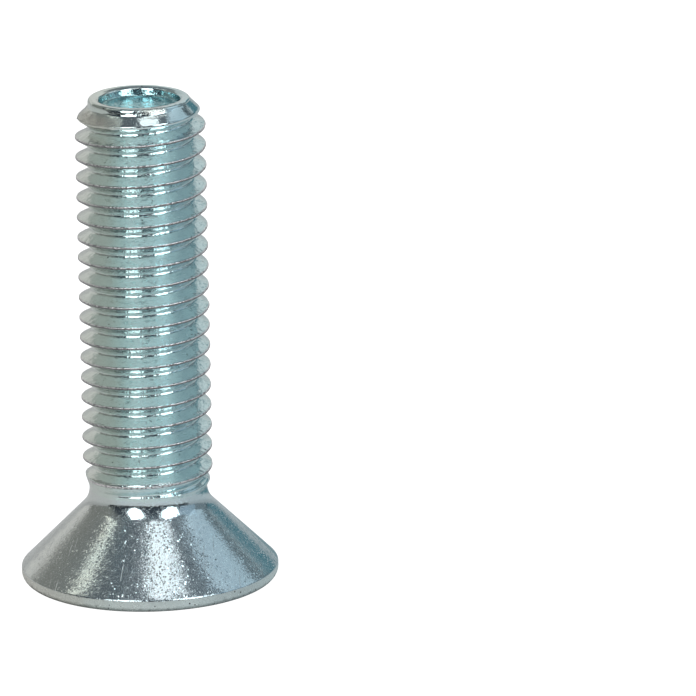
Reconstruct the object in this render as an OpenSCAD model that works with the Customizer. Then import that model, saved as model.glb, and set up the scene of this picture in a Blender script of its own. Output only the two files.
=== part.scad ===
// Countersunk hex socket screw, M8 x 30, threaded up to the head, zinc plated.
// It stands on its head: the flat face is at z = 0 and the tip points up along +Z.

/* [Overall] */
// Length over all, from the flat face of the head to the rim of the tip
length = 30; // [20:0.5:40]

/* [Head] */
// Largest diameter of the head
head_d = 15.6; // [14:0.1:17]
// Included angle of the cone under the head
head_angle = 90; // [82:1:96]
// Height of the rim, from the flat face to the start of the cone
rim_h = 0.8; // [0.6:0.05:1.2]
// Radius of the rounded edge between the flat face and the rim
face_round = 0.5; // [0.2:0.05:0.55]
// Radius of the rounded edge between the rim and the cone
rim_round = 0.15; // [0.05:0.01:0.2]

/* [Neck] */
// Diameter of the plain neck, which is the blank that the thread was rolled on
neck_d = 7.15; // [6.8:0.05:7.4]
// Radius of the fillet between the cone and the neck
neck_fillet = 1.5; // [0.5:0.1:2]

/* [Thread] */
// Diameter over the crests
thread_d = 7.84; // [7.6:0.02:8.1]
// Distance along the axis from one crest to the next
pitch = 1.25; // [1:0.05:1.5]
// Included angle between the two flanks
flank_angle = 60; // [55:1:65]
// Width of the flat at the crest
crest_w = 0.12; // [0.1:0.01:0.25]
// Width of the rounded bottom at the root
root_w = 0.2; // [0.15:0.01:0.3]
// Height of the rounding in the corners of the root
root_rise = 0.06; // [0.02:0.01:0.1]
// Length over which the crests grow from the neck to their full height
run_out = 1.9; // [1:0.1:3]
// How much the rolled grooves get shallower for each millimetre of the run-out
roll_lean = 0.26; // [0.15:0.01:0.4]
// Height of a crest above the head, on the side at 180 degrees
crest_phase = 7.62; // [7:0.01:8.2]

/* [Tip] */
// Length of the blank's gentle taper below the tip
taper_len = 1.75; // [1:0.05:2.5]
// How much the taper narrows for each millimetre
taper_lean = 0.32; // [0.2:0.01:0.5]
// Length over which the last groove fills up into the chamfer
fill_len = 0.35; // [0.2:0.05:0.6]
// Diameter of the lip that stands round the cup
lip_d = 6.24; // [5.8:0.02:6.6]
// Height of the lip above the chamfer
lip_h = 0.38; // [0.3:0.01:0.6]
// Radius of the lip's outer edge
lip_round = 0.3; // [0.1:0.01:0.32]
// Diameter of the cup at its mouth
cup_d = 4.9; // [4.2:0.1:5.2]
// Slope of the cup's wall, from the axis
cup_wall_angle = 19; // [5:1:30]
// Height of the cup's wall
cup_wall_h = 0.6; // [0.4:0.05:0.8]
// Width of the slanted corner between the wall and the floor
cup_corner_w = 0.12; // [0.05:0.01:0.2]
// Height of the dish in the floor of the cup
cup_dish = 0.15; // [0.1:0.05:0.35]

/* [Socket] */
// Size of the hexagon across its flats
hex_af = 5; // [4:0.05:6]
// Depth of the full hexagon, measured at its corners
hex_depth = 3.5; // [2.5:0.1:4]
// Height of the blunt cone that the punch left below the hexagon
punch_nose_h = 0.75; // [0.4:0.05:1]
// Diameter of the small flat at the bottom of that cone
punch_flat_d = 1.6; // [1:0.1:2]

/* [Hidden] */
$fn = 96;

// Straight pieces round each turn of the thread
turn_steps = 36;
// The faceted thread stays this much inside the round surfaces that it joins
skin = 0.01;
// What is cut away is drawn this much past the surface that it opens
past = 1;
// Depth of the parts that are sunk in their neighbours to join them
sunk = 0.2;

head_r = head_d / 2;
neck_r = neck_d / 2;
crest_r = thread_d / 2;
root_r = crest_r - (pitch - crest_w - root_w) / 2 / tan(flank_angle / 2);
lip_r = lip_d / 2;
hex_corner_r = hex_af / 2 / cos(30);

// Heights above the flat face
half_angle = head_angle / 2;
cone_end = rim_h + (head_r - neck_r) / tan(half_angle);
neck_end = cone_end + neck_fillet * tan(half_angle / 2);
thread_foot = neck_end - pitch - sunk;
lip_base = length - lip_h;
taper_start = length - taper_len;
fill_start = lip_base - fill_len;
roll_end = neck_end + run_out;

cup_wall_r = cup_d / 2 - cup_wall_h * tan(cup_wall_angle);
cup_floor_r = cup_wall_r - cup_corner_w;
cup_edge = length - cup_wall_h - cup_corner_w / 2;

// One turn's profile, from the middle of one root up: [height in the turn, radius]
profile = [
    [0, root_r],
    [root_w / 2, root_r + root_rise],
    [(pitch - crest_w) / 2, crest_r],
    [(pitch + crest_w) / 2, crest_r],
    [pitch - root_w / 2, root_r + root_rise]
];
lines = len(profile);

function ease(t) = let (c = max(0, min(1, t))) c * c * (3 - 2 * c);

// How far out the metal reaches: it swells from the neck into the thread, and at the tip it is
// tapered and then chamfered at 45 degrees
function blank_r(z) =
    let (swollen = neck_r - skin + (crest_r - neck_r + skin) * max(0, min(1, (z - neck_end) / run_out)))
    let (tapered = crest_r - taper_lean * max(0, z - taper_start))
    min(swollen, tapered, lip_r - skin + lip_base - z);

// The rolled form leans out at the run-out, is cut off by the blank's shape, and fills up at the tip
function formed_r(r, z) =
    let (rolled = r + roll_lean * max(0, roll_end - z))
    let (cut = min(rolled, blank_r(z)))
    cut + (blank_r(z) - cut) * ease((z - fill_start) / fill_len);

// Profile points lie on helical lines: line k passes column j of a turn at this height.
// A right-hand thread climbs as the angle grows.
function line_z(k, j) =
    let (turn = floor(k / lines))
    crest_phase - pitch + (turn + j / turn_steps) * pitch + profile[k - turn * lines][0];

function line_r(k) = profile[k - floor(k / lines) * lines][1];

// A column runs from the foot to the top, and holds the lines that lie clear of both ends
clear = pitch / 40;
last_line = ceil((length / pitch + 3) * lines);
first_in = [for (j = [0 : turn_steps - 1])
    [for (k = [-last_line : last_line]) if (line_z(k, j) > thread_foot + clear) k][0]];
end_in = [for (j = [0 : turn_steps - 1])
    let (inside = [for (k = [-last_line : last_line]) if (line_z(k, j) < lip_base - clear) k])
    inside[len(inside) - 1]];

function sum_before(sizes, n, i = 0, total = 0) =
    i == n ? total : sum_before(sizes, n, i + 1, total + sizes[i]);

column_sizes = [for (j = [0 : turn_steps - 1]) end_in[j] - first_in[j] + 3];
column_starts = [for (j = [0 : turn_steps - 1]) sum_before(column_sizes, j)];

function column_point(j, r, z) =
    let (a = 360 * j / turn_steps) [r * cos(a), r * sin(a), z];

thread_points = [for (j = [0 : turn_steps - 1]) each concat(
    [column_point(j, neck_r - skin, thread_foot)],
    [for (k = [first_in[j] : end_in[j]])
        let (z = line_z(k, j)) column_point(j, formed_r(line_r(k), z), z)],
    [column_point(j, lip_r - skin, lip_base)]
)];

// Column turn_steps is column 0 again, one turn further up the thread
function wrap(j) = j == turn_steps ? 0 : j;
function lift(j) = j == turn_steps ? lines : 0;
function first_of(j) = first_in[wrap(j)] - lift(j);
function end_of(j) = end_in[wrap(j)] - lift(j);
function foot_id(j) = column_starts[wrap(j)];
function top_id(j) = column_starts[wrap(j)] + column_sizes[wrap(j)] - 1;
function line_id(j, k) = column_starts[wrap(j)] + 1 + k + lift(j) - first_in[wrap(j)];

// Between two columns: a fan where lines begin at the foot, strips along the lines that both
// columns hold, and a fan where lines end at the top
function strip_faces(j) =
    let (n = j + 1, from = first_of(j), to = end_of(n))
    concat(
        let (foot = concat([foot_id(n)], [for (k = [first_of(n) : from]) line_id(n, k)]))
        [for (i = [0 : len(foot) - 2]) [foot_id(j), foot[i + 1], foot[i]]],
        [[foot_id(j), line_id(j, from), line_id(n, from)]],
        [for (k = [from : to - 1]) each [
            [line_id(j, k), line_id(n, k + 1), line_id(n, k)],
            [line_id(j, k), line_id(j, k + 1), line_id(n, k + 1)]
        ]],
        let (top = concat([for (k = [to : end_of(j)]) line_id(j, k)], [top_id(j)]))
        [for (i = [0 : len(top) - 2]) [top_id(n), top[i], top[i + 1]]],
        [[top_id(n), line_id(n, to), line_id(j, to)]]
    );

thread_faces = concat(
    [for (j = [0 : turn_steps - 1]) each strip_faces(j)],
    [[for (j = [0 : turn_steps - 1]) foot_id(j)]],
    [[for (j = [turn_steps - 1 : -1 : 0]) top_id(j)]]
);

// The thread with the core that it was rolled on
module thread() {
    polyhedron(points = thread_points, faces = thread_faces);
}

// Rim, cone and neck, turned about the axis
module head() {
    rim_reach = rim_round * tan(half_angle / 2);
    neck_reach = neck_fillet * tan(half_angle / 2);
    rotate_extrude() difference() {
        union() {
            polygon([
                [0, 0], [head_r - face_round, 0], [head_r, face_round], [head_r, rim_h - rim_reach],
                [head_r - rim_reach * sin(half_angle), rim_h + rim_reach * cos(half_angle)],
                [neck_r + neck_reach * sin(half_angle), cone_end - neck_reach * cos(half_angle)],
                [neck_r, neck_end], [0, neck_end]
            ]);
            translate([head_r - face_round, face_round]) circle(r = face_round);
            translate([head_r - rim_round, rim_h - rim_reach]) circle(r = rim_round);
        }
        translate([neck_r + neck_fillet, neck_end]) circle(r = neck_fillet);
    }
}

// Flat-topped lip with a round outer edge, on a foot that is sunk in the core
module lip() {
    edge_r = lip_r - lip_round;
    rotate_extrude() {
        polygon([
            [0, lip_base - sunk], [edge_r, lip_base - sunk], [edge_r, lip_base], [lip_r, lip_base],
            [lip_r, length - lip_round], [edge_r, length - lip_round], [edge_r, length], [0, length]
        ]);
        translate([edge_r, length - lip_round]) circle(r = lip_round);
    }
}

// Shallow cup in the tip, with a steep wall, a small corner and a dished floor
module cup() {
    floor_z = cup_edge - cup_dish;
    dish_r = (pow(cup_floor_r, 2) + pow(cup_dish, 2)) / 2 / cup_dish;
    rotate_extrude() {
        polygon([
            [0, cup_edge], [cup_floor_r, cup_edge], [cup_wall_r, length - cup_wall_h],
            [cup_d / 2 + past * tan(cup_wall_angle), length + past], [0, length + past]
        ]);
        intersection() {
            translate([0, floor_z + dish_r]) circle(r = dish_r);
            translate([0, floor_z]) square([cup_floor_r, cup_dish]);
        }
    }
}

// Hexagon with the blunt cone of the punch at its bottom, which meets its corners at hex_depth
module socket() {
    punch_flat_r = punch_flat_d / 2;
    nose_slope = punch_nose_h / (hex_corner_r - punch_flat_r);
    intersection() {
        translate([0, 0, -past]) cylinder(h = length, r = hex_corner_r, $fn = 6);
        rotate_extrude() polygon([
            [0, -past], [hex_corner_r + past, -past], [hex_corner_r + past, hex_depth - past * nose_slope],
            [punch_flat_r, hex_depth + punch_nose_h], [0, hex_depth + punch_nose_h]
        ]);
    }
}

module countersunk_screw() {
    color([0.74, 0.78, 0.79]) difference() {
        union() {
            head();
            thread();
            lip();
        }
        socket();
        cup();
    }
}

countersunk_screw();
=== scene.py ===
import bmesh
import bpy
import math
import random
from mathutils import Matrix, Vector, noise


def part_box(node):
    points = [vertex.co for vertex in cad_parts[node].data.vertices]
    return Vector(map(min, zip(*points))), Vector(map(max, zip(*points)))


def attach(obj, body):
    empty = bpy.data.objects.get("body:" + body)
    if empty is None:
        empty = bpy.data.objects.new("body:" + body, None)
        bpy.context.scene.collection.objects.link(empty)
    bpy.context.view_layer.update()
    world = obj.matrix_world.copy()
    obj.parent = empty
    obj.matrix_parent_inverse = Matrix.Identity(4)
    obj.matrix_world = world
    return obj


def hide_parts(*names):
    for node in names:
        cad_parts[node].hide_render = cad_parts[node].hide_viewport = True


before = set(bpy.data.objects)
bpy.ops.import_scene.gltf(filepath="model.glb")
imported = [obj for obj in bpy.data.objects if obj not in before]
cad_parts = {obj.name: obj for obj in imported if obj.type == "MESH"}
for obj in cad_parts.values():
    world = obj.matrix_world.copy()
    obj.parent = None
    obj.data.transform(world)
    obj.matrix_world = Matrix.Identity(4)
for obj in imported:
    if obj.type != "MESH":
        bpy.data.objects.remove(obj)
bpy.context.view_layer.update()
millimetre = 0.001  # all sizes below are in millimetres, and the mesh and the scene are in metres
lowCorner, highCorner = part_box("countersunk_screw")


def toMm(metres):
    return metres / millimetre


def ease(t):
    t = min(1.0, max(0.0, t))
    return t * t * (3 - 2 * t)


def mix(a, b, t):
    return a + (b - a) * t


def softMin(a, b, blend):
    h = min(1.0, max(0.0, 0.5 + 0.5 * (b - a) / blend))
    return mix(b, a, h) - blend * h * (1 - h)


def direction(azimuth, elevation):  # azimuth 0 is towards the camera, and grows to the right
    a, e = math.radians(azimuth), math.radians(elevation)
    return Vector((math.sin(a) * math.cos(e), -math.cos(a) * math.cos(e), math.sin(e)))


# The screw. Heights are above the flat face of the head, on which it stands.
screw = {
    "columns": 180,  # points round the axis, a multiple of 6 so that the hexagon has its corners
    "length": toMm(highCorner.z - lowCorner.z),
    "headRadius": toMm(highCorner.x),
    "faceRound": 0.5,
    "rimHeight": 0.8,
    "rimRound": 0.15,
    "neckRadius": 3.575,
    "neckFillet": 1.6,
    "crestRadius": 3.94,
    "crestWidth": 0.10,
    "crestRound": 0.05,
    "pitch": 1.25,
    "crestPhase": 7.62,  # height of a crest on the side at 180 degrees
    "threadDepth": 0.85,
    "rootRound": 0.232,
    "lowerFlank": 32.5,  # the flank below a crest and the one above it, from the plane across the axis
    "upperFlank": 27.3,
    "runOut": 1.2,  # above the neck, over which the blank swells and the dies lean away from it
    "rollLean": 0.50,
    "runBulge": 0.11,  # a swelling below the run-out, on the right
    "taperStart": 28.27,  # above this the blank's end is tapered, up to the chamfer below the lip
    "taperLean": 0.32,
    "fillStart": 29.0,
    "fillSpan": 0.3,
    "lipRadius": 3.12,
    "lipHeight": 0.38,
    "lipRound": 0.22,
    "lipCentring": 0.035,  # the lip is worn further in on the right
    "chamferTilt": 0.12,  # the chamfer lies higher on the right than on the left
    "bevelRadius": 2.68,
    "bevelDrop": 0.12,
    "cupRadius": 2.46,
    "cupWallAngle": 19,
    "cupWallDepth": 0.5,
    "cupFloorRadius": 2.18,
    "cupFloorDepth": 0.57,
    "cupDish": 0.14,
    "hexFlats": 5.0,
    "hexDepth": 3.5,
    "mouthBevel": 0.08,
    "punchNose": 0.75,
    "punchFlatRadius": 0.8,
    "faceDents": 0.014,  # how deep the forging's faint dents are, on the face and on the cone
    "coneDents": 0.012,
    "crestWave": 0.010,
    "lipWave": 0.035,
    "lipDents": 0.016,
    "seed": 5,
}

crestNicks = {"count": 90, "depth": 0.035, "length": 0.28}
firstTurn = {"angle": 212, "spread": 55, "height": 28.98, "reach": 0.7, "depth": 0.075}
dullPatch = {"angle": 288, "spread": 22, "above": 29.42, "share": 0.75}


def arc(centreR, centreZ, radius, fromAngle, toAngle, steps):  # angles from the radial direction towards +Z
    points = []
    for i in range(steps + 1):
        a = math.radians(mix(fromAngle, toAngle, i / steps))
        points.append((centreR + radius * math.cos(a), centreZ + radius * math.sin(a)))
    return points


def line(start, end, steps):  # the points between two points, without either
    return [(mix(start[0], end[0], i / steps), mix(start[1], end[1], i / steps)) for i in range(1, steps)]


def headProfile(s):  # from the rounded edge of the face up to the foot of the thread
    tangent = math.tan(math.radians(22.5))
    rimReach, neckReach = s["rimRound"] * tangent, s["neckFillet"] * tangent
    coneEnd = s["rimHeight"] + s["headRadius"] - s["neckRadius"]
    faceEdge = arc(s["headRadius"] - s["faceRound"], s["faceRound"], s["faceRound"], -90, 0, 8)
    rimEdge = arc(s["headRadius"] - s["rimRound"], s["rimHeight"] - rimReach, s["rimRound"], 0, 45, 4)
    fillet = arc(s["neckRadius"] + s["neckFillet"], coneEnd + neckReach, s["neckFillet"], 225, 180, 12)
    rim = faceEdge + line(faceEdge[-1], rimEdge[0], 3) + rimEdge
    return rim + line(rimEdge[-1], fillet[0], 14) + fillet


def tipProfile(s):  # over the lip and down to the cup's floor: outside the cup, its bevel and its wall
    top = s["length"]
    outer = arc(s["lipRadius"] - s["lipRound"], top - s["lipRound"], s["lipRound"], 0, 90, 8)
    bevelTop = (s["bevelRadius"], top)
    bevelFoot = (s["cupRadius"], top - s["bevelDrop"])
    fall = s["cupWallDepth"] - s["bevelDrop"]
    wallFoot = (s["cupRadius"] - fall * math.tan(math.radians(s["cupWallAngle"])), top - s["cupWallDepth"])
    floorEdge = (s["cupFloorRadius"], top - s["cupFloorDepth"])
    start = (s["lipRadius"], s["threadTop"])
    outside = [start] + line(start, outer[0], 2) + outer
    bevel = [bevelTop] + line(bevelTop, bevelFoot, 4) + [bevelFoot]
    wall = line(bevelFoot, wallFoot, 6) + [wallFoot] + line(wallFoot, floorEdge, 2) + [floorEdge]
    return outside, bevel, wall


# From the edge of a crest down to the middle of the root: radius and distance along the axis
def flankProfile(s, angle):
    steep = 90 - angle
    reach = math.tan(math.radians(steep / 2))
    rounding = s["crestRound"]
    corner = arc(s["crestRadius"] - rounding, s["crestWidth"] / 2 - rounding * reach, rounding, 0, steep, 2)
    middle = s["crestWidth"] / 2 + s["threadDepth"] * math.tan(math.radians(angle)) + s["rootRound"] * reach
    root = arc(s["rootLow"] + s["rootRound"], middle, s["rootRound"], 180 + steep, 180, 5)
    flank = [tuple(mix(a, b, share) for a, b in zip(corner[-1], root[0])) for share in (0.08, 0.4, 0.7)]
    return corner + flank + root[:-1], middle


# One turn, from one root to the next: height from the middle of the crest, radius and share of the dark lower
# crest
def threadProfile(s):
    lower, lowerMiddle = flankProfile(s, s["lowerFlank"])
    upper, upperMiddle = flankProfile(s, s["upperFlank"])
    # The two rounded corners of a root meet in a faint crease
    overlap = max(0.0, lowerMiddle + upperMiddle - s["pitch"]) / 2
    crease = s["rootLow"] + s["rootRound"] - math.sqrt(s["rootRound"] ** 2 - overlap ** 2)
    below = [(-z, r) for r, z in lower if z < lowerMiddle - overlap]
    above = [(z, r) for r, z in upper if z < upperMiddle - overlap]
    outline = [(overlap - lowerMiddle, crease)] + below[::-1] + [(0.0, s["crestRadius"])] + above
    # The lower half of the crest is coloured dark
    return [(z, r, ease(1.3 - (s["crestRadius"] - r) / 0.06) * ease(1 - z / 0.03)) for z, r in outline]


def deriveSizes(s):
    s["rootLow"] = s["crestRadius"] - s["threadDepth"]
    s["threadFoot"] = (s["rimHeight"] + s["headRadius"] - s["neckRadius"]
                       + s["neckFillet"] * math.tan(math.radians(22.5)))
    s["threadTop"] = s["length"] - s["lipHeight"]


# How far out the metal reaches: it swells into the thread below, and is tapered above
def blankRadius(s, z, angle):
    grown = min(1.0, max(0.0, (z - s["threadFoot"] - 0.15) / s["runOut"]))
    swollen = mix(s["neckRadius"], s["crestRadius"] + 0.02, grown)
    swollen += s["runBulge"] * ease(math.cos(angle)) * math.exp(-((z - s["threadFoot"] - 0.4) / 0.28) ** 2)
    taper = s["crestRadius"] - s["taperLean"] * max(0.0, z - s["taperStart"])
    chamfer = s["lipRadius"] + (s["threadTop"] + s["chamferTilt"] * math.cos(angle) - z)
    return softMin(swollen, softMin(taper, chamfer, 0.05), 0.02)


# The rolled form leans out in the run-out, and the blank's own shape cuts it off
def threadRadius(s, r, z, angle):
    rolled = r + s["rollLean"] * max(0.0, s["threadFoot"] + s["runOut"] - z)
    blank = blankRadius(s, z, angle)
    r = softMin(rolled, blank, 0.03)
    return mix(r, blank, ease((z - s["fillStart"]) / s["fillSpan"]))


def noiseAt(angle, z, r, size, shift=0.0):
    return noise.noise(Vector((r * math.cos(angle), r * math.sin(angle), z + shift)) / size)


def makeNicks(s):
    draw = random.Random(s["seed"])
    span = s["threadTop"] - s["threadFoot"]
    return [(draw.uniform(0, 2 * math.pi), s["threadFoot"] + draw.random() * span, draw.uniform(0.4, 1))
            for _ in range(crestNicks["count"])]


def nickDepth(nicks, angle, z, r):
    depth = 0.0
    for nickAngle, nickZ, share in nicks:
        if abs(z - nickZ) < 0.5:
            away = abs((angle - nickAngle + math.pi) % (2 * math.pi) - math.pi) * r
            depth = max(depth, share * crestNicks["depth"] * ease(1 - away / crestNicks["length"]))
    return depth


def burrShare(angle, z):  # the first turn's crest didn't fill, and is creased on one side
    away = abs((math.degrees(angle) - firstTurn["angle"] + 180) % 360 - 180)
    near = ease(1.4 - 1.4 * away / firstTurn["spread"])
    return near * ease(1.4 - 1.4 * abs(z - firstTurn["height"]) / firstTurn["reach"])


def dullShare(angle, z):  # a worn patch on the right of the chamfer
    away = abs((math.degrees(angle) - dullPatch["angle"] + 180) % 360 - 180)
    share = dullPatch["share"] * ease(1.5 - 1.5 * away / dullPatch["spread"])
    return share * ease((z - dullPatch["above"]) / 0.25)


def burrHeight(angle, z):
    creases = noiseAt(angle, z * 2.2, 3.6, 0.45, 7) + 0.6 * noiseAt(angle, z * 2, 3.6, 0.2, 3)
    return firstTurn["depth"] * (creases - 0.25)


rolledPart, pressedPart, upsetPart, cupPart, rimPart = range(5)  # in the order of the finishes below


def socketRadius(s, j):  # distance from the axis to the hexagon's wall in column j
    angle = 360 * j / s["columns"] % 60 - 30
    return s["hexFlats"] / 2 / math.cos(math.radians(angle))


def buildScrew(s):
    deriveSizes(s)
    n = s["columns"]
    mesh = bmesh.new()
    crestLayer = mesh.verts.layers.float.new("crest")
    edgeLayer = mesh.verts.layers.float.new("edge")
    burrLayer = mesh.verts.layers.float.new("burr")
    angles = [2 * math.pi * j / n for j in range(n)]
    nicks = makeNicks(s)

    def addPoint(j, r, z):
        x, y = r * math.cos(angles[j]), r * math.sin(angles[j])
        return mesh.verts.new((x * millimetre, y * millimetre, z * millimetre))

    def addRing(radiusAt, heightAt):
        return [addPoint(j, radiusAt(j), heightAt(j)) for j in range(n)]

    def bridge(low, high, finish):
        for j in range(n):
            k = (j + 1) % n
            face = mesh.faces.new((low[j], low[k], high[k], high[j]))
            face.material_index = finish
            face.smooth = True

    def fan(centre, ring, finish, outward):
        for j in range(n):
            k = (j + 1) % n
            corners = (ring[j], ring[k], centre) if outward else (ring[k], ring[j], centre)
            face = mesh.faces.new(corners)
            face.material_index = finish
            face.smooth = True

    # Socket, from the middle of the punch's mark out to the mouth
    cornerRadius = s["hexFlats"] / 2 / math.cos(math.radians(30))
    noseTop = s["hexDepth"] + s["punchNose"]
    noseSlope = s["punchNose"] / (cornerRadius - s["punchFlatRadius"])

    def noseZ(r):
        return noseTop - max(0.0, r - s["punchFlatRadius"]) * noseSlope

    deepest = mesh.verts.new((0, 0, noseTop * millimetre))
    rings = [addRing(lambda j: s["punchFlatRadius"], lambda j: noseTop)]
    fan(deepest, rings[0], upsetPart, False)
    for i in range(1, 7):
        reach = lambda j: mix(s["punchFlatRadius"], socketRadius(s, j), i / 6)
        rings.append(addRing(reach, lambda j: noseZ(reach(j))))
    socketFloor = rings[-1]
    wallSteps = 4
    for i in range(1, wallSteps + 1):
        rings.append(addRing(lambda j: socketRadius(s, j),
                             lambda j: mix(noseZ(socketRadius(s, j)), s["mouthBevel"], i / wallSteps)))
    mouthTop = rings[-1]
    rings.append(addRing(lambda j: socketRadius(s, j) + s["mouthBevel"], lambda j: 0.0))
    mouth = rings[-1]

    # Flat face, with the faint dents of the forging, none of them below the face
    profile = headProfile(s)
    faceRadius = profile[0][0]
    faceSteps = 9
    for i in range(1, faceSteps):
        share = i / faceSteps
        reach = lambda j: mix(socketRadius(s, j) + s["mouthBevel"], faceRadius, share)
        deep = s["faceDents"] * math.sin(math.pi * share)
        dent = lambda j: deep * abs(noiseAt(angles[j], 0, reach(j), 1.3))
        rings.append(addRing(reach, dent))
    firstHead = len(rings)
    for r, z in profile:
        wave = s["coneDents"] * ease((z - 0.3) / 0.4) * ease(s["threadFoot"] - z)
        rings.append(addRing(lambda j: r - wave * abs(noiseAt(angles[j], z, r, 2.2)), lambda j: z))
    rimRings = sum(z < s["rimHeight"] - 0.05 for r, z in profile)
    for i in range(len(rings) - 1):
        finish = upsetPart if i < firstHead else rimPart if i < firstHead + rimRings else pressedPart
        bridge(rings[i], rings[i + 1], finish)
    markSharp(mesh, socketFloor)
    markSharp(mesh, mouthTop)
    markSharp(mesh, mouth)
    for j in range(0, n, n // 6):
        for i in range(rings.index(socketFloor), rings.index(mouth)):
            mesh.edges.get((rings[i][j], rings[i + 1][j])).smooth = False

    # Thread: helical lines from the foot to the top, stitched column by column
    turn = threadProfile(s)
    lines = len(turn)
    foot = rings[-1]
    topHeight = lambda j: s["threadTop"] + s["chamferTilt"] * math.cos(angles[j])
    top = addRing(lambda j: s["lipRadius"], topHeight)
    clear = s["pitch"] / 60
    lastLine = math.ceil((s["length"] / s["pitch"] + 3) * lines)

    def lineHeight(k, j):
        return s["crestPhase"] + (k // lines + j / n - 0.5) * s["pitch"] + turn[k % lines][0]

    columns = []
    for j in range(n):
        column = {}
        for k in range(-lastLine, lastLine):
            z = lineHeight(k, j)
            if s["threadFoot"] + clear < z < topHeight(j) - clear:
                full, darkLowerCrest = turn[k % lines][1:]
                r = threadRadius(s, full, z, angles[j])
                crest = darkLowerCrest * ease((s["fillStart"] + 0.3 - z) / 0.3) * ease(1.2 - (full - r) / 0.08)
                nearCrest = ease(1 - (s["crestRadius"] - full) / 0.25)
                r += s["crestWave"] * nearCrest * noiseAt(angles[j], z, r, 1.1)
                r -= nearCrest * nickDepth(nicks, angles[j], z, r)
                burr = burrShare(angles[j], z)
                r += burr * burrHeight(angles[j], z)
                column[k] = addPoint(j, r, z)
                column[k][crestLayer] = crest
                atEdge = ease(1.6 - (s["crestRadius"] - full) / 0.05)
                column[k][edgeLayer] = atEdge * ease((s["fillStart"] - z) / 0.3)
                column[k][burrLayer] = max(burr, dullShare(angles[j], z))
        columns.append(column)

    def addTriangle(a, b, c):
        face = mesh.faces.new((a, b, c))
        face.smooth = True

    for j in range(n):
        left = columns[j]
        right = columns[(j + 1) % n]
        lift = lines if j + 1 == n else 0  # past the last column the lines are one turn further up
        right = {k - lift: point for k, point in right.items()}
        footRight, topRight = foot[(j + 1) % n], top[(j + 1) % n]
        first, last = min(left), max(right)
        begin = [footRight] + [right[k] for k in range(min(right), first + 1)]
        for a, b in zip(begin, begin[1:]):
            addTriangle(foot[j], a, b)
        addTriangle(foot[j], right[first], left[first])
        for k in range(first, last):
            face = mesh.faces.new((left[k], right[k], right[k + 1], left[k + 1]))
            face.smooth = True
        end = [left[k] for k in range(last, max(left) + 1)] + [top[j]]
        for a, b in zip(end, end[1:]):
            addTriangle(topRight, b, a)
        addTriangle(topRight, left[last], right[last])

    # Lip and cup
    tipRings = [top]
    outside, bevel, wall = tipProfile(s)
    for r, z in outside[1:] + bevel + wall:
        share = ease((z - s["threadTop"]) / 0.15) * ease((r - 2.3) / 0.4)
        onChamfer = ease((r - 2.8) / 0.2)
        climb = s["chamferTilt"] * ease((s["length"] - z) / (s["length"] - s["threadTop"])) * onChamfer
        worn = lambda j: 1 - s["lipCentring"] / 2 * (1 + math.cos(angles[j])) * share
        wave = lambda j: share * s["lipWave"] * noiseAt(angles[j], z, r, 0.7)
        sunk = lambda j: share * s["lipDents"] * abs(noiseAt(angles[j], z, r, 0.6, 4))
        ring = addRing(lambda j: r * worn(j) + wave(j), lambda j: z - sunk(j) + climb * math.cos(angles[j]))
        for j, point in enumerate(ring):
            point[burrLayer] = dullShare(angles[j], z) * onChamfer
        tipRings.append(ring)
    floorEdge = s["length"] - s["cupFloorDepth"]
    for i in range(1, 7):
        share = 1 - i / 7
        tipRings.append(addRing(lambda j: s["cupFloorRadius"] * share,
                                lambda j: floorEdge - s["cupDish"] * (1 - share * share)))
    wallStart = len(outside) + len(bevel)
    for i in range(len(tipRings) - 1):
        bridge(tipRings[i], tipRings[i + 1], cupPart if i >= wallStart else rolledPart)
    bottom = mesh.verts.new((0, 0, (floorEdge - s["cupDish"]) * millimetre))
    fan(bottom, tipRings[-1], cupPart, True)
    bmesh.ops.recalc_face_normals(mesh, faces=mesh.faces)
    data = bpy.data.meshes.new("zincScrew")
    mesh.to_mesh(data)
    mesh.free()
    obj = bpy.data.objects.new("zincScrew", data)
    bpy.context.scene.collection.objects.link(obj)
    return obj


def markSharp(mesh, ring):
    for a, b in zip(ring, ring[1:] + ring[:1]):
        edge = mesh.edges.get((a, b))
        if edge:
            edge.smooth = False


# Node helpers
def addNode(tree, kind, inputs=None, **settings):
    node = tree.nodes.new(kind)
    for name, value in settings.items():
        setattr(node, name, value)
    for name, value in (inputs or {}).items():
        if isinstance(value, bpy.types.NodeSocket):
            tree.links.new(value, node.inputs[name])
        else:
            node.inputs[name].default_value = value
    return node


def makeGroup(name, inputs, output):  # a node group with one output: Color, Height or Mask
    group = bpy.data.node_groups.new(name, "ShaderNodeTree")
    for socketName, value in inputs.items():
        kind = "NodeSocketColor" if isinstance(value, tuple) else "NodeSocketFloat"
        socket = group.interface.new_socket(name=socketName, in_out="INPUT", socket_type=kind)
        socket.default_value = value
    kind = "NodeSocketColor" if output == "Color" else "NodeSocketFloat"
    group.interface.new_socket(name=output, in_out="OUTPUT", socket_type=kind)
    return group, group.nodes.new("NodeGroupInput").outputs, group.nodes.new("NodeGroupOutput").inputs


def useGroup(tree, group, inputs):
    node = tree.nodes.new("ShaderNodeGroup")
    node.node_tree = group
    for name, value in inputs.items():
        if isinstance(value, bpy.types.NodeSocket):
            tree.links.new(value, node.inputs[name])
        else:
            node.inputs[name].default_value = value
    return node.outputs


def placeInMm(tree):  # the point on the screw, in millimetres
    where = addNode(tree, "ShaderNodeTexCoord").outputs["Object"]
    scaled = addNode(tree, "ShaderNodeVectorMath", {0: where, "Scale": 1 / millimetre}, operation="SCALE")
    return scaled.outputs[0]


def noiseValue(tree, place, scale, detail=2.0):
    node = addNode(tree, "ShaderNodeTexNoise", {"Vector": place, "Scale": scale, "Detail": detail})
    return node.outputs["Fac"]


def vectorMath(tree, operation, a, b):
    return addNode(tree, "ShaderNodeVectorMath", {0: a, 1: b}, operation=operation).outputs


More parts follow.
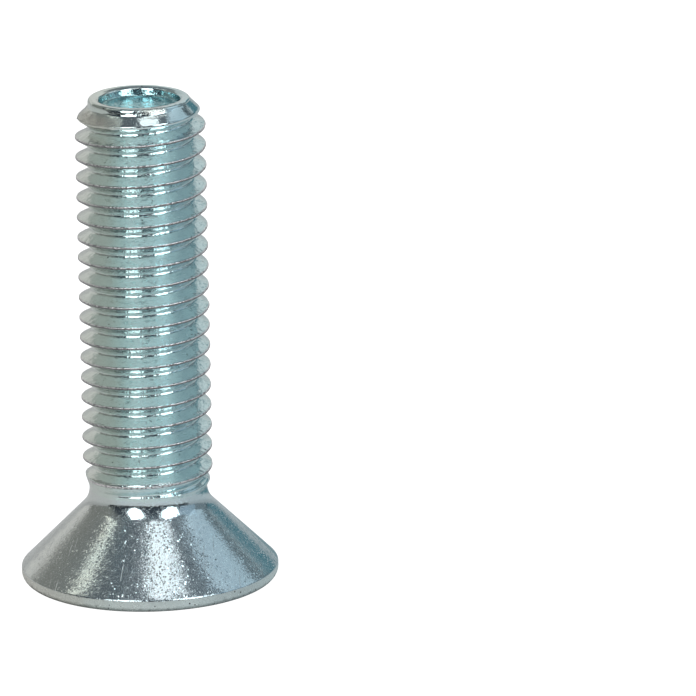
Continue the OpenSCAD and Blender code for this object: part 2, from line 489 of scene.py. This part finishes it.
def partsOf(tree, vector):
    return addNode(tree, "ShaderNodeSeparateXYZ", {0: vector}).outputs


def mathValue(tree, operation, a, b=0.0, clamp=False):
    return addNode(tree, "ShaderNodeMath", {0: a, 1: b}, operation=operation, use_clamp=clamp).outputs[0]


def mapRange(tree, value, low, high, toLow=0.0, toHigh=1.0, smooth=True):
    node = addNode(tree, "ShaderNodeMapRange", {"Value": value, "From Min": low, "From Max": high,
                                                "To Min": toLow, "To Max": toHigh})
    node.interpolation_type = "SMOOTHSTEP" if smooth else "LINEAR"
    return node.outputs["Result"]


def mixColour(tree, share, a, b):
    node = addNode(tree, "ShaderNodeMix", {"Factor": share, 6: a, 7: b}, data_type="RGBA")
    return node.outputs[2]


# Node groups that the finishes share
# Film tones along X from left to right, green grey to blue, with painted shade: both sides darker and the
# middle brighter
filmTonesAndSideShade = ((0.0, (0.70, 0.755, 0.71)), (0.2, (0.69, 0.775, 0.735)), (0.33, (0.73, 0.885, 0.88)),
             (0.42, (0.78, 0.93, 0.93)), (0.69, (0.76, 0.94, 0.96)), (0.84, (0.57, 0.73, 0.76)),
             (1.0, (0.60, 0.79, 0.82)))


def makeFilmAndSideShade():  # the passive film over the zinc, green grey on one side and blue on the other, with painted shade: darker towards both sides along X and brighter in the middle
    inputs = {"Tint": (1, 1, 1, 1), "Patch Size": 3.0, "Patchiness": 0.5}
    group, given, result = makeGroup("filmAndSideShade", inputs, "Color")
    place = placeInMm(group)
    parts = partsOf(group, place)
    flat = addNode(group, "ShaderNodeCombineXYZ", {"X": parts["X"], "Y": parts["Y"]}).outputs[0]
    reach = addNode(group, "ShaderNodeVectorMath", {0: flat}, operation="LENGTH").outputs["Value"]
    side = mathValue(group, "DIVIDE", parts["X"], mathValue(group, "MAXIMUM", reach, 3.5))
    side = mapRange(group, side, -1.0, 1.0, smooth=False)
    patchScale = mathValue(group, "DIVIDE", 1.0, given["Patch Size"])
    patch = mathValue(group, "SUBTRACT", noiseValue(group, place, patchScale, 3.0), 0.5)
    patch = mathValue(group, "MULTIPLY", patch, given["Patchiness"])
    share = mathValue(group, "ADD", side, patch, clamp=True)
    tones = addNode(group, "ShaderNodeValToRGB", {0: share})
    while len(tones.color_ramp.elements) < len(filmTonesAndSideShade):
        tones.color_ramp.elements.new(1.0)
    for element, (position, colour) in zip(tones.color_ramp.elements, filmTonesAndSideShade):
        element.position = position
        element.color = (*colour, 1)
    tinted = addNode(group, "ShaderNodeMix", {"Factor": 1.0, 6: tones.outputs[0], 7: given["Tint"]},
                     data_type="RGBA", blend_type="MULTIPLY").outputs[2]
    group.links.new(tinted, result["Color"])
    return group


def makeGrain():  # fine grain, waves along the screw and streaks round it, as a height in millimetres
    inputs = {"Grain Size": 0.1, "Grain": 0.002, "Wave Size": 0.6, "Wave": 0.0,
              "Streak Size": 0.05, "Streak": 0.0}
    group, given, result = makeGroup("zincGrain", inputs, "Height")
    place = placeInMm(group)
    lying = vectorMath(group, "MULTIPLY", place, (0.16, 0.16, 1.0))[0]
    upright = vectorMath(group, "MULTIPLY", place, (1.0, 1.0, 0.3))[0]
    total = None
    for size, strength, where in (("Grain Size", "Grain", place), ("Wave Size", "Wave", upright),
                                  ("Streak Size", "Streak", lying)):
        scale = mathValue(group, "DIVIDE", 1.0, given[size])
        height = mathValue(group, "MULTIPLY", noiseValue(group, where, scale, 2.0), given[strength])
        total = mathValue(group, "ADD", total, height) if total else height
    group.links.new(total, result["Height"])
    return group


def makePits():  # scattered specks: a hard mask
    group, given, result = makeGroup("scatteredPits", {"Spacing": 0.9, "Size": 0.06, "Share": 0.3}, "Mask")
    place = placeInMm(group)
    scale = mathValue(group, "DIVIDE", 1.0, given["Spacing"])
    cells = addNode(group, "ShaderNodeTexVoronoi", {"Vector": place, "Scale": scale})
    away = mathValue(group, "MULTIPLY", cells.outputs["Distance"], given["Spacing"])
    chosen = addNode(group, "ShaderNodeSeparateColor", {0: cells.outputs["Color"]}).outputs[0]
    here = mathValue(group, "LESS_THAN", chosen, given["Share"])
    near = mathValue(group, "LESS_THAN", away, given["Size"])
    group.links.new(mathValue(group, "MULTIPLY", here, near), result["Mask"])
    return group


def makeFacets():  # small crystal faces, most nearly level and a few steep, as a height in millimetres
    inputs = {"Size": 0.11, "Slope": 0.05, "Steep": 0.3, "Squeeze": 1.0}
    group, given, result = makeGroup("crystalFacets", inputs, "Height")
    squeeze = addNode(group, "ShaderNodeCombineXYZ", {"X": given["Squeeze"], "Y": given["Squeeze"], "Z": 1.0})
    place = vectorMath(group, "MULTIPLY", placeInMm(group), squeeze.outputs[0])[0]
    scale = mathValue(group, "DIVIDE", 1.0, given["Size"])
    cells = addNode(group, "ShaderNodeTexVoronoi", {"Vector": place, "Scale": scale})
    away = vectorMath(group, "SUBTRACT", place, cells.outputs["Position"])[0]
    lean = vectorMath(group, "SUBTRACT", cells.outputs["Color"], (0.5, 0.5, 0.5))[0]
    rise = vectorMath(group, "DOT_PRODUCT", away, lean)["Value"]
    chance = addNode(group, "ShaderNodeSeparateColor", {0: cells.outputs["Color"]}).outputs[2]
    steep = mathValue(group, "MULTIPLY", mathValue(group, "POWER", chance, 4.0), given["Steep"])
    strength = mathValue(group, "MULTIPLY", mathValue(group, "ADD", steep, given["Slope"]), 2.0)
    group.links.new(mathValue(group, "MULTIPLY", rise, strength), result["Height"])
    return group


def makeScratches():  # short fine scratches in two directions
    group, given, result = makeGroup("fineScratches", {"Length": 0.9, "Width": 0.03, "Share": 0.1}, "Mask")
    place = placeInMm(group)
    total = None
    for turn in ((0.3, 0.5, 0.9), (1.1, 0.2, 2.3)):
        turned = addNode(group, "ShaderNodeVectorRotate", {"Vector": place, "Rotation": turn},
                         rotation_type="EULER_XYZ").outputs[0]
        across = mathValue(group, "DIVIDE", 1.0, given["Width"])
        along = mathValue(group, "DIVIDE", 1.0, given["Length"])
        stretch = addNode(group, "ShaderNodeCombineXYZ", {"X": across, "Y": along, "Z": along}).outputs[0]
        stretched = vectorMath(group, "MULTIPLY", turned, stretch)[0]
        cells = addNode(group, "ShaderNodeTexVoronoi", {"Vector": stretched, "Scale": 0.35})
        chosen = addNode(group, "ShaderNodeSeparateColor", {0: cells.outputs["Color"]}).outputs[1]
        here = mathValue(group, "LESS_THAN", chosen, given["Share"])
        thin = mapRange(group, cells.outputs["Distance"], 0.30, 0.10)
        streak = mathValue(group, "MULTIPLY", here, thin)
        total = mathValue(group, "MAXIMUM", total, streak) if total else streak
    group.links.new(total, result["Mask"])
    return group


filmAndSideShade, zincGrain, scatteredPits = makeFilmAndSideShade(), makeGrain(), makePits()
crystalFacets, fineScratches = makeFacets(), makeScratches()
print("node groups ready")

# Finishes: sizes and depths are in millimetres
rolledZinc = {
    "tint": (1, 1, 1, 1), "roughness": 0.05, "roughnessSpread": 0.07, "patchiness": 0.25,
    "grainSize": 0.09, "grain": 0.006, "waveSize": 0.28, "wave": 0.034, "streakSize": 0.05, "streak": 0.009,
    "facetSize": 0.10, "facetSlope": 0.015, "facetSteep": 0.12, "facetSqueeze": 0.5,
    "pitSpacing": 0.70, "pitSize": 0.055, "pitShare": 0.24, "scratch": 0.0,
}
pressedZinc = {
    "tint": (1.0, 0.97, 1.0, 1), "roughness": 0.055, "roughnessSpread": 0.05, "patchiness": 0.2,
    "grainSize": 0.10, "grain": 0.006, "waveSize": 1.4, "wave": 0.010, "streakSize": 0.05, "streak": 0.0,
    "facetSize": 0.085, "facetSlope": 0.018, "facetSteep": 0.125, "facetSqueeze": 1.0,
    "pitSpacing": 1.3, "pitSize": 0.05, "pitShare": 0.10, "scratch": 0.012,
}
upsetZinc = {
    "tint": (0.80, 0.97, 1.0, 1), "roughness": 0.17, "roughnessSpread": 0.14, "patchiness": 0.2,
    "grainSize": 0.14, "grain": 0.003, "waveSize": 0.55, "wave": 0.020, "streakSize": 0.05, "streak": 0.0,
    "facetSize": 0.2, "facetSlope": 0.01, "facetSteep": 0.10, "facetSqueeze": 1.0,
    "pitSpacing": 1.2, "pitSize": 0.05, "pitShare": 0.10, "scratch": 0.001,
}
cupZinc = {
    "tint": (0.60, 0.81, 0.85, 1), "roughness": 0.07, "roughnessSpread": 0.08, "patchiness": 0.2,
    "grainSize": 0.12, "grain": 0.014, "waveSize": 0.5, "wave": 0.014, "streakSize": 0.05, "streak": 0.0,
    "facetSize": 0.14, "facetSlope": 0.03, "facetSteep": 0.15, "facetSqueeze": 1.0,
    "pitSpacing": 1.2, "pitSize": 0.05, "pitShare": 0.10, "scratch": 0.0,
}
rimZinc = {
    "tint": (1.0, 0.93, 0.91, 1), "roughness": 0.22, "roughnessSpread": 0.12, "patchiness": 0.2,
    "grainSize": 0.10, "grain": 0.014, "waveSize": 0.9, "wave": 0.010, "streakSize": 0.05, "streak": 0.004,
    "facetSize": 0.2, "facetSlope": 0.05, "facetSteep": 0.2, "facetSqueeze": 1.0,
    "pitSpacing": 0.30, "pitSize": 0.05, "pitShare": 0.42, "scratch": 0.0,
}

darkPit = {"colour": (0.05, 0.05, 0.06, 1), "depth": 0.02}
# The grain of the cone, which fades into the neck's fillet
coneGrain = {"below": 4.45, "cleanAbove": 4.95, "left": 0.45, "roughness": 0.055}
crestWear = {
    "calmStart": 28.75, "calmEnd": 29.0, "calm": 0.3,  # the end of the screw, whose surface is smoother
    "tornScale": 9.0, "tornDepth": 0.055, "dull": 0.09,
    "bright": (0.97, 0.93, 0.95, 1), "brightShare": 0.8,
    "gapScale": 8.0, "gap": (0.20, 0.19, 0.20, 1), "gapShare": 0.75,
    "darkLowerCrest": (0.20, 0.21, 0.21, 1), "darkLowerCrestShare": 0.92,
    "burr": (0.72, 0.72, 0.65, 1), "burrShare": 0.8,
}


def wornCrest(tree, wear, place, colour, height, roughness):  # the torn, brighter crests of the thread
    darkLowerCrest, edge, burr = [addNode(tree, "ShaderNodeAttribute", attribute_name=name).outputs["Fac"]
                        for name in ("crest", "edge", "burr")]
    rise = partsOf(tree, place)["Z"]
    calm = mapRange(tree, rise, wear["calmStart"], wear["calmEnd"], 1.0, wear["calm"])
    height = mathValue(tree, "MULTIPLY", height, calm)
    worn = mathValue(tree, "MAXIMUM", edge, burr)
    torn = mathValue(tree, "MULTIPLY", noiseValue(tree, place, wear["tornScale"], 3.0), worn)
    height = mathValue(tree, "ADD", height, mathValue(tree, "MULTIPLY", torn, wear["tornDepth"]))
    colour = mixColour(tree, mathValue(tree, "MULTIPLY", edge, wear["brightShare"]), colour, wear["bright"])
    gaps = mapRange(tree, noiseValue(tree, place, wear["gapScale"]), 0.50, 0.60)
    gaps = mathValue(tree, "MULTIPLY", mathValue(tree, "MULTIPLY", edge, gaps), wear["gapShare"])
    colour = mixColour(tree, gaps, colour, wear["gap"])
    # the lower half of the crest is coloured dark
    colour = mixColour(tree, mathValue(tree, "MULTIPLY", darkLowerCrest, wear["darkLowerCrestShare"]), colour, wear["darkLowerCrest"])
    colour = mixColour(tree, mathValue(tree, "MULTIPLY", burr, wear["burrShare"]), colour, wear["burr"])
    roughness = mathValue(tree, "ADD", roughness, mathValue(tree, "MULTIPLY", worn, wear["dull"]))
    return colour, height, roughness


def makeZinc(name, look):
    material = bpy.data.materials.new(name)
    material.use_nodes = True
    tree = material.node_tree
    tree.nodes.clear()
    place = placeInMm(tree)
    # the film's colour carries painted shade, darker at the sides and brighter in the middle
    filmWithSideShade = useGroup(tree, filmAndSideShade, {"Tint": look["tint"], "Patchiness": look["patchiness"]})["Color"]
    pits = useGroup(tree, scatteredPits, {"Spacing": look["pitSpacing"], "Size": look["pitSize"],
                                          "Share": look["pitShare"]})["Mask"]
    facets = useGroup(tree, crystalFacets, {"Size": look["facetSize"], "Slope": look["facetSlope"],
                                            "Steep": look["facetSteep"],
                                            "Squeeze": look["facetSqueeze"]})["Height"]
    scratches = useGroup(tree, fineScratches, {})["Mask"]
    unevenness = noiseValue(tree, place, 2.2, 4.0)
    roughest = look["roughness"] + look["roughnessSpread"]
    roughness = mapRange(tree, unevenness, 0.3, 0.7, look["roughness"], roughest)
    grainDepth = look["grain"]
    if name == "pressedZinc":
        rise = partsOf(tree, place)["Z"]
        grainy = mapRange(tree, rise, coneGrain["below"], coneGrain["cleanAbove"], 1.0, coneGrain["left"])
        grainDepth = mathValue(tree, "MULTIPLY", grainy, look["grain"])
        facets = mathValue(tree, "MULTIPLY", facets, grainy)
        rougher = mathValue(tree, "MULTIPLY", grainy, coneGrain["roughness"])
        roughness = mathValue(tree, "ADD", roughness, rougher)
    grain = useGroup(tree, zincGrain, {"Grain Size": look["grainSize"], "Grain": grainDepth,
                                       "Wave Size": look["waveSize"], "Wave": look["wave"],
                                       "Streak Size": look["streakSize"], "Streak": look["streak"]})["Height"]
    colour = mixColour(tree, pits, filmWithSideShade, darkPit["colour"])
    height = mathValue(tree, "SUBTRACT", grain, mathValue(tree, "MULTIPLY", pits, darkPit["depth"]))
    height = mathValue(tree, "SUBTRACT", height, mathValue(tree, "MULTIPLY", scratches, look["scratch"]))
    height = mathValue(tree, "ADD", height, facets)
    if name == "rolledZinc":
        colour, height, roughness = wornCrest(tree, crestWear, place, colour, height, roughness)
    bump = addNode(tree, "ShaderNodeBump", {"Height": height, "Distance": millimetre})
    shader = addNode(tree, "ShaderNodeBsdfPrincipled", {"Base Color": colour, "Metallic": 1.0,
                                                        "Roughness": roughness, "Normal": bump.outputs[0]})
    output = addNode(tree, "ShaderNodeOutputMaterial")
    tree.links.new(shader.outputs[0], output.inputs["Surface"])
    return material


screwObject = buildScrew(screw)
finishes = {"rolledZinc": rolledZinc, "pressedZinc": pressedZinc, "upsetZinc": upsetZinc, "cupZinc": cupZinc,
            "rimZinc": rimZinc}
for name, look in finishes.items():
    screwObject.data.materials.append(makeZinc(name, look))
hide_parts("countersunk_screw")
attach(screwObject, "root")
screwObject.data.calc_loop_triangles()
print("screw:", len(screwObject.data.vertices), "points,", len(screwObject.data.loop_triangles), "triangles")

# Floor: a pale sheet that rises gently at its edge
studioFloor = {
    "flatRadius": 900, "radius": 1250, "rise": 160, "columns": 96,
    "colour": 0.42, "glow": 0.32,  # the sheet is lit from below as well
    "litTo": 130, "dimOver": 110,  # up to this far in front, and dims over this much more
    "shade": (("X", 4, 10), ("Y", 2, 9), ("X", 26, 18), ("Y", 30, 20)),  # behind the screw on the right
    "contactShadow": (8.1, 7.6),  # distances between which its glow goes dark under the head, a painted contact shadow
}


def buildFloor(f):
    mesh = bmesh.new()
    rings = []
    steps = 10
    reaches = [mix(f["flatRadius"], f["radius"], i / steps) for i in range(steps + 1)]
    centre = mesh.verts.new((0, 0, 0))
    for reach in reaches:
        share = (reach - f["flatRadius"]) / (f["radius"] - f["flatRadius"])
        ring = []
        for j in range(f["columns"]):
            a = 2 * math.pi * j / f["columns"]
            ring.append(mesh.verts.new((reach * math.cos(a) * millimetre, reach * math.sin(a) * millimetre,
                                        f["rise"] * share * share * millimetre)))
        rings.append(ring)
    for j in range(f["columns"]):
        k = (j + 1) % f["columns"]
        mesh.faces.new((centre, rings[0][j], rings[0][k]))
        for low, high in zip(rings, rings[1:]):
            mesh.faces.new((low[j], high[j], high[k], low[k])).smooth = True
    data = bpy.data.meshes.new("studioFloor")
    mesh.to_mesh(data)
    mesh.free()
    obj = bpy.data.objects.new("studioFloor", data)
    bpy.context.scene.collection.objects.link(obj)
    material = bpy.data.materials.new("paleFloor")
    material.use_nodes = True
    tree = material.node_tree
    place = placeInMm(tree)
    parts = partsOf(tree, place)
    lit = mapRange(tree, parts["Y"], -f["litTo"] - f["dimOver"], -f["litTo"])
    shaded = None
    for axis, clear, full in f["shade"]:
        share = mapRange(tree, parts[axis], clear, full)
        shaded = mathValue(tree, "MULTIPLY", shaded, share) if shaded else share
    colour = mixColour(tree, lit, (0.03, 0.035, 0.04, 1), (f["colour"], f["colour"], f["colour"], 1))
    glow = mixColour(tree, lit, (0, 0, 0, 1), (f["glow"], f["glow"], f["glow"], 1))
    away = addNode(tree, "ShaderNodeVectorMath", {0: place}, operation="LENGTH").outputs["Value"]
    contactShadow = mapRange(tree, away, *f["contactShadow"])
    seen = addNode(tree, "ShaderNodeLightPath").outputs["Is Camera Ray"]  # white there, as in the photograph
    shader = tree.nodes["Principled BSDF"]
    tree.links.new(mixColour(tree, shaded, colour, (0.04, 0.07, 0.08, 1)), shader.inputs["Base Color"])
    glow = mixColour(tree, shaded, glow, (0.12, 0.21, 0.23, 1))
    # painted contact shadow: the glow goes dark under and just round the head
    glow = mixColour(tree, contactShadow, glow, (0.02, 0.02, 0.02, 1))
    tree.links.new(mixColour(tree, seen, glow, (1, 1, 1, 1)), shader.inputs["Emission Color"])
    shader.inputs["Emission Strength"].default_value = 1.0
    shader.inputs["Roughness"].default_value = 0.9
    shader.inputs["Specular IOR Level"].default_value = 0.0
    data.materials.append(material)
    return obj


buildFloor(studioFloor)
print("floor ready")

# Lights: azimuth, elevation, width and height in degrees as the screw sees them, then brightness and colour
softLights = {
    "leftBox": (-26, 31, 27, 50, 2.8, (0.99, 1.0, 1.0)),
    "rightBox": (43, 31, 28, 50, 2.8, (0.98, 1.0, 1.0)),
    "topBox": (35, 76, 22, 21, 1.05, (1.03, 1.0, 1.0)),
    "leftStrip": (-93, 54, 5, 30, 1.35, (1.0, 0.99, 0.88)),
    "rightPanel": (108, 43, 25, 36, 0.46, (0.84, 0.96, 1.05)),
    "lowPanel": (80, 25, 34, 34, 0.22, (0.75, 0.98, 1.2)),
}
ovalLights = ("leftBox", "rightBox")
lightDistance = 900


def addLight(name, azimuth, elevation, width, height, brightness, colour):
    light = bpy.data.lights.new(name, "AREA")
    oval = name in ovalLights
    light.shape = "ELLIPSE" if oval else "RECTANGLE"
    light.size = 2 * lightDistance * math.tan(math.radians(width / 2)) * millimetre
    light.size_y = 2 * lightDistance * math.tan(math.radians(height / 2)) * millimetre
    area = light.size * light.size_y * (math.pi / 4 if oval else 1)
    light.energy = brightness * math.pi * area
    light.color = colour
    lamp = bpy.data.objects.new(name, light)
    bpy.context.scene.collection.objects.link(lamp)
    towards = direction(azimuth, elevation)
    lamp.location = (Vector((0, 0, screw["length"] / 2)) + towards * lightDistance) * millimetre
    lamp.rotation_euler = towards.to_track_quat("Z", "Y").to_euler()


for name, values in softLights.items():
    addLight(name, *values)

# The room round the lights: dark behind the camera, pale behind the screw
studioRoom = {
    "front": (0.042, 0.05, 0.062, 1), "left": (0.225, 0.23, 0.22, 1), "right": (0.20, 0.225, 0.24, 1),
    "backLeft": (0.58, 0.575, 0.56, 1), "backRight": (0.75, 0.745, 0.735, 1),
    "lowLeft": (0.68, 0.675, 0.66, 1), "lowRight": (0.105, 0.215, 0.25, 1),
    "top": (0.175, 0.19, 0.205, 1), "topFront": (0.11, 0.12, 0.135, 1),
    "screenEdge": (0.02, 0.025, 0.03, 1), "edgeAzimuth": 131,  # a dark upright line behind on the right
}


def buildRoom(room):
    world = bpy.data.worlds.new("studioRoom")
    bpy.context.scene.world = world
    world.use_nodes = True
    tree = world.node_tree
    tree.nodes.clear()
    where = addNode(tree, "ShaderNodeTexCoord").outputs["Generated"]
    parts = partsOf(tree, where)
    sides = mixColour(tree, mapRange(tree, parts["X"], -0.4, 0.4), room["left"], room["right"])
    colour = mixColour(tree, mapRange(tree, parts["Y"], -0.45, -0.20), room["front"], sides)
    rightwards = mapRange(tree, parts["X"], -0.3, 0.3)
    high = mixColour(tree, rightwards, room["backLeft"], room["backRight"])
    farRight = mapRange(tree, parts["X"], 0.27, 0.36)
    low = mixColour(tree, farRight, room["lowLeft"], room["lowRight"])
    border = mathValue(tree, "SUBTRACT", parts["Z"], mathValue(tree, "MULTIPLY", farRight, 0.09))
    back = mixColour(tree, mapRange(tree, border, 0.26, 0.34), low, high)
    colour = mixColour(tree, mapRange(tree, parts["Y"], 0.58, 0.74), colour, back)
    top = mixColour(tree, mapRange(tree, parts["Y"], -0.15, 0.1), room["topFront"], room["top"])
    colour = mixColour(tree, mapRange(tree, parts["Z"], 0.5, 0.9), colour, top)
    azimuth = math.radians(room["edgeAzimuth"])
    away = mathValue(tree, "SUBTRACT", mathValue(tree, "MULTIPLY", parts["X"], -math.cos(azimuth)),
                     mathValue(tree, "MULTIPLY", parts["Y"], math.sin(azimuth)))
    thin = mapRange(tree, mathValue(tree, "ABSOLUTE", away), 0.022, 0.012)
    thin = mathValue(tree, "MULTIPLY", thin, mapRange(tree, parts["X"], 0.2, 0.3))
    colour = mixColour(tree, thin, colour, room["screenEdge"])
    background = addNode(tree, "ShaderNodeBackground", {"Color": colour, "Strength": 1.0})
    output = addNode(tree, "ShaderNodeOutputWorld")
    tree.links.new(background.outputs[0], output.inputs["Surface"])


buildRoom(studioRoom)
print("lights ready")

# Camera, where the photograph was taken from: the long lens looks down on the screw
camera = {"lens": 465.5, "sensor": 36.0, "distance": 542.8, "elevation": 16.303, "roll": -0.941,
          "aimHeight": 15.0, "across": -203.05, "up": -10.56, "pixels": 9000.0}


def addCamera(c):
    e, roll = math.radians(c["elevation"]), math.radians(c["roll"])
    forward = Vector((0, math.cos(e), -math.sin(e)))
    level = Vector((1, 0, 0))
    upright = Vector((0, math.sin(e), math.cos(e)))
    right = math.cos(roll) * level + math.sin(roll) * upright
    up = -math.sin(roll) * level + math.cos(roll) * upright
    perPixel = c["distance"] / c["pixels"]
    place = Vector((0, 0, c["aimHeight"])) - forward * c["distance"]
    place += -right * c["across"] * perPixel + up * c["up"] * perPixel
    data = bpy.data.cameras.new("productCamera")
    data.lens = c["lens"]
    data.sensor_width = c["sensor"]
    data.clip_start = 0.01
    data.clip_end = 10
    obj = bpy.data.objects.new("productCamera", data)
    bpy.context.scene.collection.objects.link(obj)
    axes = Matrix((right, up, -forward)).transposed()
    obj.matrix_world = Matrix.Translation(place * millimetre) @ axes.to_4x4()
    bpy.context.scene.camera = obj


addCamera(camera)
bpy.context.scene.view_settings.view_transform = "Standard"
print("camera ready")
